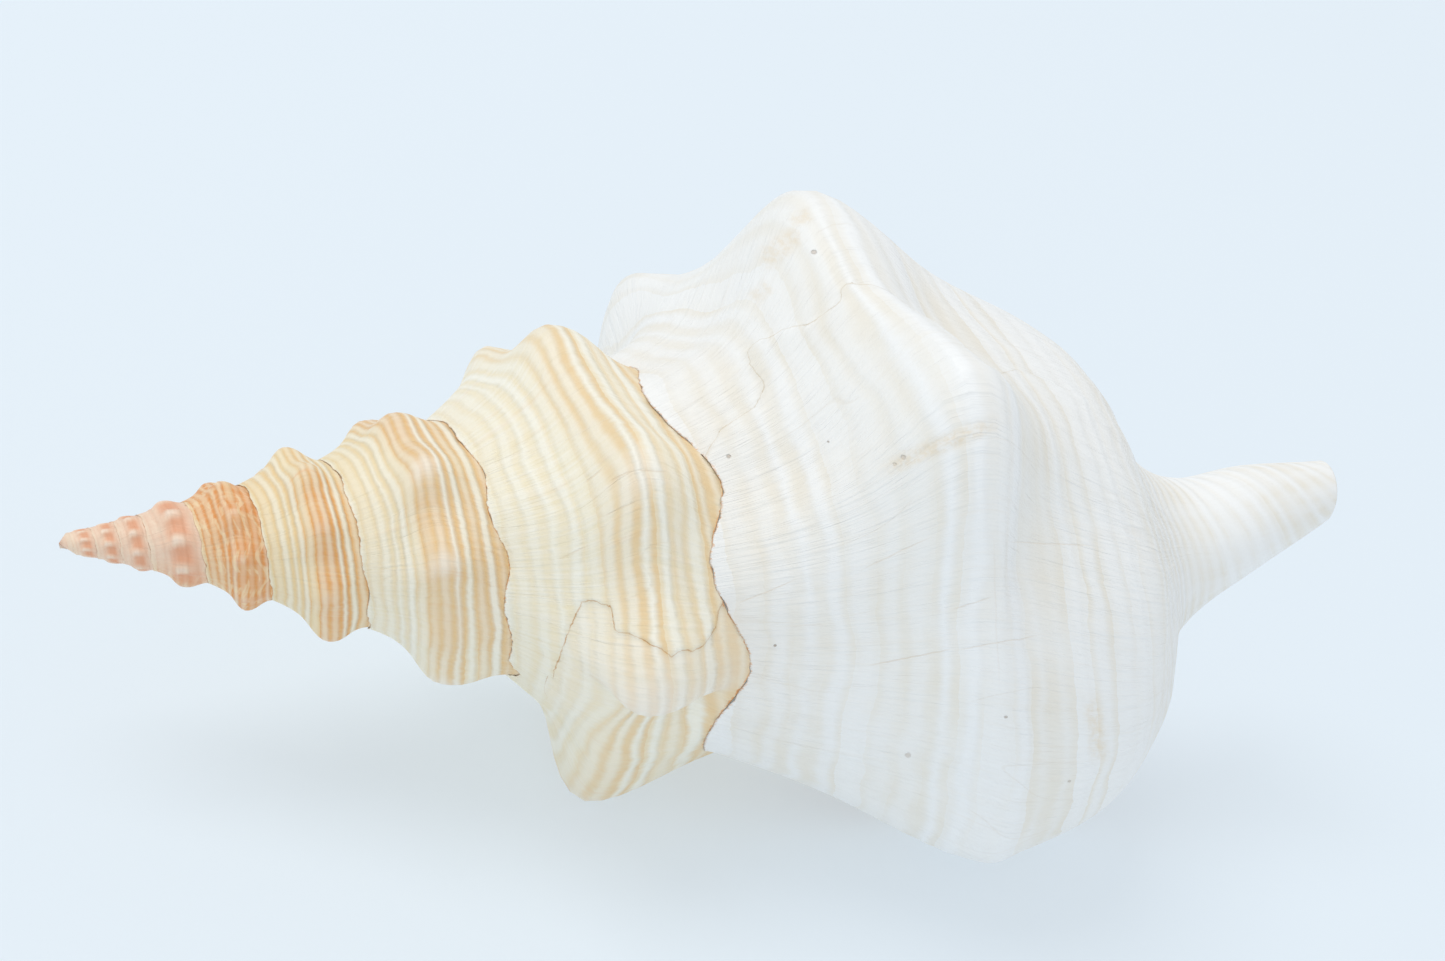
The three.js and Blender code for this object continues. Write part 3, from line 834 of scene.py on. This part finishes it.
class Nodes:
    """Short names for the nodes that the materials are made of."""

    def __init__(self, material):
        material.use_nodes = True
        self.tree = material.node_tree
        self.tree.nodes.clear()
        self.shader = self.tree.nodes.new("ShaderNodeBsdfPrincipled")
        out = self.tree.nodes.new("ShaderNodeOutputMaterial")
        self.link(self.shader.outputs[0], out.inputs[0])

    def link(self, start, end):
        self.tree.links.new(start, end)

    def put(self, value, socket):
        if isinstance(value, bpy.types.NodeSocket):
            self.link(value, socket)
        else:
            socket.default_value = srgb(*value) if isinstance(value, tuple) else value

    def value(self, name):
        node = self.tree.nodes.new("ShaderNodeAttribute")
        node.attribute_name = name
        return node.outputs["Fac"]

    def math(self, kind, *numbers, clamp=False):
        node = self.tree.nodes.new("ShaderNodeMath")
        node.operation = kind
        node.use_clamp = clamp
        for number, socket in zip(numbers, node.inputs):
            self.put(number, socket)
        return node.outputs[0]

    def add(self, one, two, clamp=False):
        return self.math("ADD", one, two, clamp=clamp)

    def minus(self, one, two, clamp=False):
        return self.math("SUBTRACT", one, two, clamp=clamp)

    def scaled(self, value, scale, shift):
        return self.math("MULTIPLY_ADD", value, scale, shift)

    def times(self, *numbers):
        result = numbers[0]
        for number in numbers[1:]:
            result = self.math("MULTIPLY", result, number)
        return result

    def step(self, value, start, end, low=0.0, high=1.0):
        node = self.tree.nodes.new("ShaderNodeMapRange")
        node.interpolation_type = "SMOOTHSTEP"
        for number, socket in zip((value, start, end, low, high), node.inputs):
            self.put(number, socket)
        return node.outputs[0]

    def noise(self, x, y, x_scale, y_scale, detail=2.0, rough=0.5, z=0.0):
        """Noise over two lengths in millimetres, each with its own scale."""
        vector = self.tree.nodes.new("ShaderNodeCombineXYZ")
        for number, socket in zip((self.times(x, x_scale), self.times(y, y_scale), z), vector.inputs):
            self.put(number, socket)
        node = self.tree.nodes.new("ShaderNodeTexNoise")
        self.link(vector.outputs[0], node.inputs["Vector"])
        node.inputs["Scale"].default_value = 1
        node.inputs["Detail"].default_value = detail
        node.inputs["Roughness"].default_value = rough
        return node.outputs["Fac"]

    def chance(self, number, seed):
        node = self.tree.nodes.new("ShaderNodeTexWhiteNoise")
        node.noise_dimensions = "1D"
        self.link(self.add(number, seed), node.inputs["W"])
        return node.outputs["Value"]

    def mix(self, share, one, two):
        node = self.tree.nodes.new("ShaderNodeMix")
        node.data_type = "RGBA"
        self.put(share, node.inputs[0])
        self.put(one, node.inputs[6])
        self.put(two, node.inputs[7])
        return node.outputs[2]

    def gap(self, one, two):
        return self.math("ABSOLUTE", self.minus(one, two))


# Pits and specks on the last whorl: place and radius in the photograph's pixels, and darkness.
SPECKS = [(814, 252, 3.6, 0.55), (910, 457, 3.4, 0.5), (901, 464, 2.6, 0.35), (729, 457, 2.8, 0.6),
          (775, 646, 1.8, 0.8), (908, 755, 4, 0.45), (1006, 717, 2, 0.6), (1069, 781, 2, 0.5),
          (830, 442, 1.6, 0.6)]

# Short marks: where they start and end and their half width, in the photograph's pixels, then their
# strength and how far they wander. Most are growth rests; the one from (992, 520) to (1000, 700) is painted
# shade along a crease.
REST_LINES_AND_CREASE_SHADE = [(860, 667, 960, 648, 0.8, 0.5, 5), (950, 652, 1045, 634, 0.8, 0.4, 5),
              (858, 571, 937, 533, 0.8, 0.35, 4), (1000, 541, 1100, 546, 0.8, 0.35, 4),
              (950, 610, 995, 596, 0.8, 0.4, 4), (733, 605, 800, 577, 0.8, 0.4, 3),
              (992, 520, 1000, 700, 1.0, 0.14, 6), (584, 484, 604, 468, 1.0, 0.5, 3),
              (608, 482, 634, 470, 1.0, 0.5, 2), (634, 470, 670, 472, 1.0, 0.4, 2),
              (558, 560, 590, 545, 1.0, 0.4, 3), (600, 518, 640, 500, 1.0, 0.4, 3)]
SMEARS = [(893, 468, 990, 424, 9, 0.5, 0), (762, 262, 800, 232, 12, 0.45, 0),
          (790, 222, 812, 214, 8, 0.4, 0), (1092, 700, 1100, 760, 10, 0.4, 0),
          (752, 300, 770, 285, 9, 0.3, 0)]

# Where a whorl's front is less or more tan: the turn at the patch's middle, and the tan's share there.
TAN_PATCHES = [(-4.47, 0.6), (-3.47, 0.35), (-2.47, 1.5), (-2.2, 1.8)]

# Over which turns one look passes into the next.
LAST_WHORL = (-0.89, -0.66)
EARLY_WHORLS = (-4.75, -3.2)
FIRST_WHORLS = (-5.12, -4.92)

# Colours of the shell, as red, green and blue from 0 to 255.
RAMP, RAMP_PALE, RAMP_EARLY = (246, 237, 208), (251, 245, 226), (244, 226, 178)
CORD, CORD_EARLY = (252, 251, 244), (252, 234, 200)
TAN, TAN_EARLY, TAN_APEX = (236, 201, 146), (232, 162, 84), (229, 143, 68)
MARK = (252, 232, 190)
KNOB_PALE_AND_HIGHLIGHT, KNOB_EARLY, KNOB_APEX = (252, 246, 236), (252, 232, 206), (250, 232, 218)
STREAK = (230, 168, 112)
APEX, APEX_DOT = (246, 222, 202), (230, 150, 104)
BODY, BODY_BAND, BODY_STROKE = (250, 250, 249), (243, 237, 225), (240, 230, 214)
GROWTH_LINE = (214, 190, 158)
HEALED, NOSE_PALE_AND_HIGHLIGHT = (251, 240, 222), (252, 243, 234)
SUTURE_BEFORE, SUTURE_AFTER = (226, 150, 80), (232, 172, 112)
BREAK_TINT, REPAIR_TINT = (204, 146, 80), (204, 184, 148)
PAUSE, PIT, REST_AND_CREASE_SHADE, SMEAR = (214, 190, 156), (160, 124, 84), (216, 184, 142), (236, 214, 178)
MOUTH, MOUTH_PALE = (224, 138, 82), (236, 166, 112)
FLOOR = (165, 174, 182)


def over_surface(n):
    """What is measured over the surface, and noise at several sizes. Growth lines are long across the shell
    and short along it."""
    s = SimpleNamespace(**{name: n.value(name) for name in NAMES})
    s.share = n.math("DIVIDE", s.across, n.math("MAXIMUM", s.band, 0.5))
    s.late = n.step(s.turn, *LAST_WHORL)
    s.lines = n.noise(s.lag, s.across, 1.25, 0.05, 3, 0.6)
    s.fine_lines = n.noise(s.lag, s.across, 3.4, 0.12, 2, 0.6)
    s.strokes = n.noise(s.lag, s.across, 0.42, 0.03, 3, 0.65)
    s.blotch = n.noise(s.along, s.across, 0.045, 0.05, 3)
    s.grain = n.noise(s.along, s.across, 0.8, 0.8, 3, 0.6)
    return s


def add_cords(n, s):
    """Cords are white and raised, each as wide and strong as chance has it, with bands between them."""
    wobble = n.noise(s.along, s.across, 0.06, 0.1, 1)
    shake = n.times(n.noise(s.lag, s.across, 0.7, 0.25, 2), n.step(s.late, 0, 1, 0.25, 0.2))
    loose = n.step(s.thin, 0, 1, 0.15, 1)
    cords = n.add(s.cord, n.times(n.add(n.times(wobble, 0.9), shake), loose))
    number = n.math("FLOOR", cords)
    away = n.gap(n.math("FRACT", cords), 0.5)
    width = n.scaled(n.chance(number, 0.5), 0.14, 0.03)
    fade = n.step(s.turn, -1.8, -1.2, 0.4, 0.34)
    s.drift = n.noise(s.along, number, 0.02, 7.3, 1)
    s.ridge = n.step(away, n.minus(width, 0.05), n.add(width, fade), 1, 0)
    s.strength = n.scaled(n.chance(number, 7.5), 0.55, n.times(s.drift, 0.8))
    s.white = n.math("MULTIPLY", s.ridge, s.strength, clamp=True)
    s.depth = n.scaled(n.chance(number, 3.5), 0.6, n.times(s.drift, 0.75))


def tan_share(n, s, early):
    """How tan the spire is: little on the ramp, more towards the front, and least on the cords."""
    tan = n.add(n.step(s.share, 0.3, 0.62, 0.24, 1.1), n.times(early, 0.6))
    on_cord = n.times(s.white, n.step(s.turn, -4.8, -3.2, 0.45, 0.85))
    tan = n.times(tan, n.step(s.depth, 0.2, 0.8, 0.25, 1), n.minus(1, on_cord))
    tan = n.times(tan, n.step(s.turn, -2.3, -1.5, 1.25, 0.78))
    for middle, change in TAN_PATCHES:
        patch = n.times(n.step(n.gap(s.turn, middle), 0.04, 0.17, 1, 0), n.step(s.share, 0.25, 0.5))
        tan = n.times(tan, n.step(patch, 0, 1, 1, change))
    tan = n.add(tan, n.times(early, 0.15), clamp=True)
    return n.times(tan, n.step(s.lines, 0.25, 0.7, 0.8, 1), n.step(s.strokes, 0.3, 0.65, 0.85, 1))


def spire_colour(n, s):
    """Pale on the ramp, tan to orange towards the front, and orange to pink near the apex."""
    early = n.step(s.turn, *EARLY_WHORLS, 1, 0)
    first = n.step(s.turn, *FIRST_WHORLS, 1, 0)
    pale = n.mix(n.step(s.lines, 0.3, 0.7), RAMP, RAMP_PALE)
    pale = n.mix(n.step(s.turn, -2.7, -1.9), RAMP_EARLY, pale)
    deep = n.mix(n.step(s.turn, -3.55, -1.75), TAN_EARLY, TAN)
    deep = n.mix(n.step(s.turn, -4.3, -3.7, 0.9, 0), deep, TAN_APEX)
    spire = n.mix(tan_share(n, s, early), pale, deep)
    cord = n.mix(early, CORD, CORD_EARLY)
    spire = n.mix(n.times(s.white, n.step(s.turn, -5.2, -2.75, 0.5, 0.55)), spire, cord)
    marks = n.noise(s.along, s.across, 0.3, 0.9, 2, 0.55)
    marks = n.times(n.step(marks, 0.5, 0.66), n.step(s.turn, -3.9, -3.2, 1, 0))
    spire = n.mix(n.times(marks, 0.5), spire, MARK)
    # Knob tops are painted paler: partly the shell's own pale knob tops, partly a painted highlight where
    # the knobs bulge.
    patchy = n.step(n.add(s.drift, n.times(s.blotch, 0.6)), 0.4, 0.9, 0.55, 1)
    spire = n.mix(n.times(n.step(s.knob, 0.4, 0.95, 0, 0.9), patchy), spire, KNOB_PALE_AND_HIGHLIGHT)
    spire = n.mix(n.times(n.step(s.knob, 0.35, 0.8), early, 0.45), spire, KNOB_EARLY)
    streak = n.times(n.step(s.strokes, 0.6, 0.74), n.step(s.knob, 0.05, 0.5, 0.1, 0.45))
    spire = n.mix(streak, spire, STREAK)
    spire = n.mix(n.step(s.turn, -5.2, -4.9, 0.72, 0), spire, APEX)
    # On the first whorls orange dots stand between pale knobs.
    across = n.times(n.step(s.share, 0.2, 0.6), n.step(s.share, 1.0, 0.7))
    spire = n.mix(n.times(first, n.step(s.knob, 0.55, 0.0), across, 0.7), spire, APEX_DOT)
    return n.mix(n.times(first, n.step(s.knob, 0.35, 0.8), 0.6), spire, KNOB_APEX)


def body_colour(n, s):
    """The last whorl is white with faint warm bands between white cords."""
    warm = n.times(n.minus(1, s.white), n.step(s.depth, 0.2, 0.9, 0.1, 1))
    warm = n.times(warm, n.step(s.blotch, 0.3, 0.7, 0.4, 1))
    body = n.mix(warm, BODY, BODY_BAND)
    return n.mix(n.step(s.strokes, 0.5, 0.8, 0, 0.16), body, BODY_STROKE)


def suture_lines(n, s, colour):
    """A thin uneven brown line along the start of each whorl, and on the spire along its end too."""
    jag = n.noise(s.along, s.across, 0.75, 0.4, 3, 0.7)
    shift = n.scaled(jag, 1.6, -0.85)
    size = n.math("MAXIMUM", s.size, 0.01)
    uneven = n.step(n.noise(s.along, 0.0, 0.16, 1, 2), 0.35, 0.65, 0.6, 1)
    on_spire = n.times(n.step(s.turn, -1.0015, -1.001, 1, 0), n.step(s.turn, -8.4, -7.8))
    to_next = n.math("DIVIDE", n.minus(s.band, s.across), size)
    before = n.step(n.add(to_next, shift), -0.05, 0.28, 1, 0)
    colour = n.mix(n.times(before, on_spire, uneven, 0.9), colour, SUTURE_BEFORE)
    after = n.step(n.add(n.math("DIVIDE", s.across, size), shift), -0.1, 0.15, 1, 0)
    return n.mix(n.times(after, uneven, 0.75), colour, SUTURE_AFTER)


def break_lines(n, s, colour):
    """Faint lines along the two healed breaks."""
    wiggle = n.scaled(s.grain, 0.7, -0.35)
    s.gaps = [n.math("ABSOLUTE", n.add(gap, wiggle)) for gap in (s.break_gap, s.repair_gap)]
    s.faint = n.step(n.noise(s.along, s.across, 0.35, 0.35, 2), 0.35, 0.65, 0.35, 1)
    for gap, darkness, tint in zip(s.gaps, (0.8, 0.55), (BREAK_TINT, REPAIR_TINT)):
        colour = n.mix(n.times(n.step(gap, 0.03, 0.16, darkness, 0), s.faint), colour, tint)
    return colour


def pauses(n, s, colour):
    """A few growth edges where the lip stood for a while."""
    pause = n.gap(n.noise(s.lag, s.across, 0.055, 0.012, 1), 0.5)
    pause = n.step(pause, 0.0005, 0.003, 1, 0)
    s.pause = n.times(pause, n.step(n.noise(s.lag, s.across, 0.03, 0.05, 1, z=5.5), 0.5, 0.62), s.thin)
    return n.mix(n.times(s.pause, 0.1), colour, PAUSE)


def strongest(n, s, marks, sway, core, edge, ends):
    """The strongest mark at a place. core and edge are half widths from its middle line, and ends are
    shares of its length from its middle: it is whole up to the first and gone at the second."""
    result = 0
    for x0, y0, x1, y1, half_width, strength, wanders in marks:
        long = math.hypot(x1 - x0, y1 - y0)
        dx, dy = (x1 - x0) / long, (y1 - y0) / long
        du = n.minus(s.u, x0)
        dv = n.minus(s.v, y0)
        away = n.scaled(dv, dx, n.times(du, -dy))
        part = n.scaled(dv, dy / long, n.times(du, dx / long))
        away = n.math("ABSOLUTE", n.scaled(sway, wanders, away))
        mark = n.times(n.step(away, half_width * core, half_width * edge, strength, 0),
                       n.step(n.gap(part, 0.5), *ends, 1, 0))
        result = n.math("MAXIMUM", result, mark)
    return result


def photo_marks(n, s, colour):
    """Pits, short growth lines, painted shade along one crease, and smears, which lie where the photograph
    shows them.
    """
    seen = n.times(s.seen, s.late)
    ragged = n.scaled(n.noise(s.u, s.v, 0.3, 0.3, 2), 0.9, 0.55)
    pits = 0
    for x, y, radius, darkness in SPECKS:
        dx = n.minus(s.u, x)
        dy = n.minus(s.v, y)
        off = n.math("SQRT", n.add(n.times(dx, dx), n.times(dy, dy, 1.6)))
        pit = n.step(n.math("DIVIDE", off, ragged), radius * 0.45, radius, darkness, 0)
        pits = n.math("MAXIMUM", pits, pit)
    s.pits = n.times(pits, seen)
    colour = n.mix(n.times(s.pits, 0.7), colour, PIT)
    sway = n.minus(n.noise(s.u, s.v, 0.035, 0.035, 3, 0.6), 0.5)
    drawn = n.times(s.seen, n.step(s.turn, -1.35, -1.3))
    # Among the rest lines, the one down the last whorl's front is painted shade along a crease.
    s.rests = n.times(strongest(n, s, REST_LINES_AND_CREASE_SHADE, sway, 0.3, 1.3, (0.25, 0.5)), drawn)
    colour = n.mix(n.times(s.rests, 0.5), colour, REST_AND_CREASE_SHADE)
    broken = n.step(n.noise(s.u, s.v, 0.12, 0.12, 3, 0.65), 0.35, 0.65, 0.3, 1)
    return n.mix(n.times(strongest(n, s, SMEARS, sway, 0.2, 1.4, (0.3, 0.65)), broken, seen), colour, SMEAR)


def relief(n, s):
    """Height of the cords, growth lines, breaks, pits, rests and the crease line, in millimetres."""
    fade = n.step(s.turn, -8.7, -1.5, 0.12, 1)
    raised = n.times(s.ridge, n.add(s.strength, 0.3), fade, n.step(s.late, 0, 1, 0.24, 0.15))
    rings = n.add(n.times(s.fine_lines, 0.16), n.times(s.strokes, 0.6))
    rings = n.add(n.times(s.lines, 0.4), rings)
    height = n.add(raised, n.times(rings, s.thin, n.step(s.late, 0, 1, 0.5, 0.65)))
    for gap in s.gaps:
        height = n.minus(height, n.times(n.step(gap, 0.04, 0.3, 0.06, 0), s.faint))
    height = n.minus(height, n.times(s.pause, 0.03))
    height = n.minus(height, n.scaled(s.pits, 0.4, n.times(s.rests, 0.1)))
    return n.times(height, n.minus(1, s.inside))


def shell_material():
    material = bpy.data.materials.new("shell")
    n = Nodes(material)
    s = over_surface(n)
    add_cords(n, s)
    colour = n.mix(s.late, spire_colour(n, s), body_colour(n, s))
    colour = n.mix(n.step(s.lines, 0.42, 0.2, 0, 0.1), colour, GROWTH_LINE)
    # The shell that grew after a break is paler.
    healed = n.times(n.step(s.break_gap, 0, 0.5), n.step(s.break_gap, 4, 14, 0.28, 0))
    colour = n.mix(healed, colour, HEALED)
    # The ledge's rounded nose is painted paler: partly its own pale colour, partly a painted highlight on
    # the rounded edge.
    colour = n.mix(n.times(s.nose, 0.4), colour, NOSE_PALE_AND_HIGHLIGHT)
    for lines in (suture_lines, break_lines, pauses, photo_marks):
        colour = lines(n, s, colour)
    # Inside, the shell is a warm orange with a polish.
    orange = n.mix(n.step(s.blotch, 0.3, 0.7), MOUTH, MOUTH_PALE)
    colour = n.mix(n.step(s.inside, 0.25, 0.8), colour, orange)
    n.link(colour, n.shader.inputs["Base Color"])
    rough = n.minus(n.step(s.lines, 0.2, 0.8, 0.4, 0.6), n.times(s.inside, 0.28), clamp=True)
    n.link(rough, n.shader.inputs["Roughness"])
    bump = n.tree.nodes.new("ShaderNodeBump")
    bump.inputs["Strength"].default_value = 0.9
    bump.inputs["Distance"].default_value = MM
    n.link(relief(n, s), bump.inputs["Height"])
    n.link(bump.outputs[0], n.shader.inputs["Normal"])
    return material


shell.data.materials.append(shell_material())


# Floor, sky and lamps, in metres and watts. A lamp is its name, place, width, power and colour.
FLOOR_SIZE = 16
FLOOR_GLOW = (0.88, 0.95, 1, 1)
FLOOR_GLOW_STRENGTH = 0.46
SKY_COLOUR = (0.925, 0.965, 1.0, 1)
SKY_STRENGTH = 0.752
LAMPS = [("key", (-1.0, 0.45, 2.78), 1.9, 27.5, (1, 0.985, 0.96)),
         ("fill", (-1.2, -2.2, 0.9), 1.7, 3, (1, 0.99, 0.97))]
LAMP_TARGET = (0, 0, 0.04)


def floor_material():
    material = bpy.data.materials.new("floor")
    n = Nodes(material)
    n.shader.inputs["Base Color"].default_value = srgb(*FLOOR)
    n.shader.inputs["Roughness"].default_value = 0.95
    n.shader.inputs["Emission Color"].default_value = FLOOR_GLOW
    n.shader.inputs["Emission Strength"].default_value = FLOOR_GLOW_STRENGTH
    return material


bpy.ops.mesh.primitive_plane_add(size=FLOOR_SIZE, location=(0, 0, 0))
floor = bpy.context.object
floor.name = "floor"
floor.data.materials.append(floor_material())

# A pale sky and the floor's glow give most of the light.
world = bpy.data.worlds.new("world")
bpy.context.scene.world = world
world.use_nodes = True
sky = world.node_tree.nodes["Background"].inputs
sky["Color"].default_value = SKY_COLOUR
sky["Strength"].default_value = SKY_STRENGTH

for name, place, size, power, colour in LAMPS:
    data = bpy.data.lights.new(name, "AREA")
    data.shape = "DISK"
    data.size = size
    data.energy = power
    data.color = colour
    light = bpy.data.objects.new(name, data)
    bpy.context.scene.collection.objects.link(light)
    light.location = place
    light.rotation_mode = "QUATERNION"
    light.rotation_quaternion = (Vector(LAMP_TARGET) - Vector(place)).to_track_quat("-Z", "Y")

bpy.context.scene.view_settings.view_transform = "Standard"

bpy.context.view_layer.update()
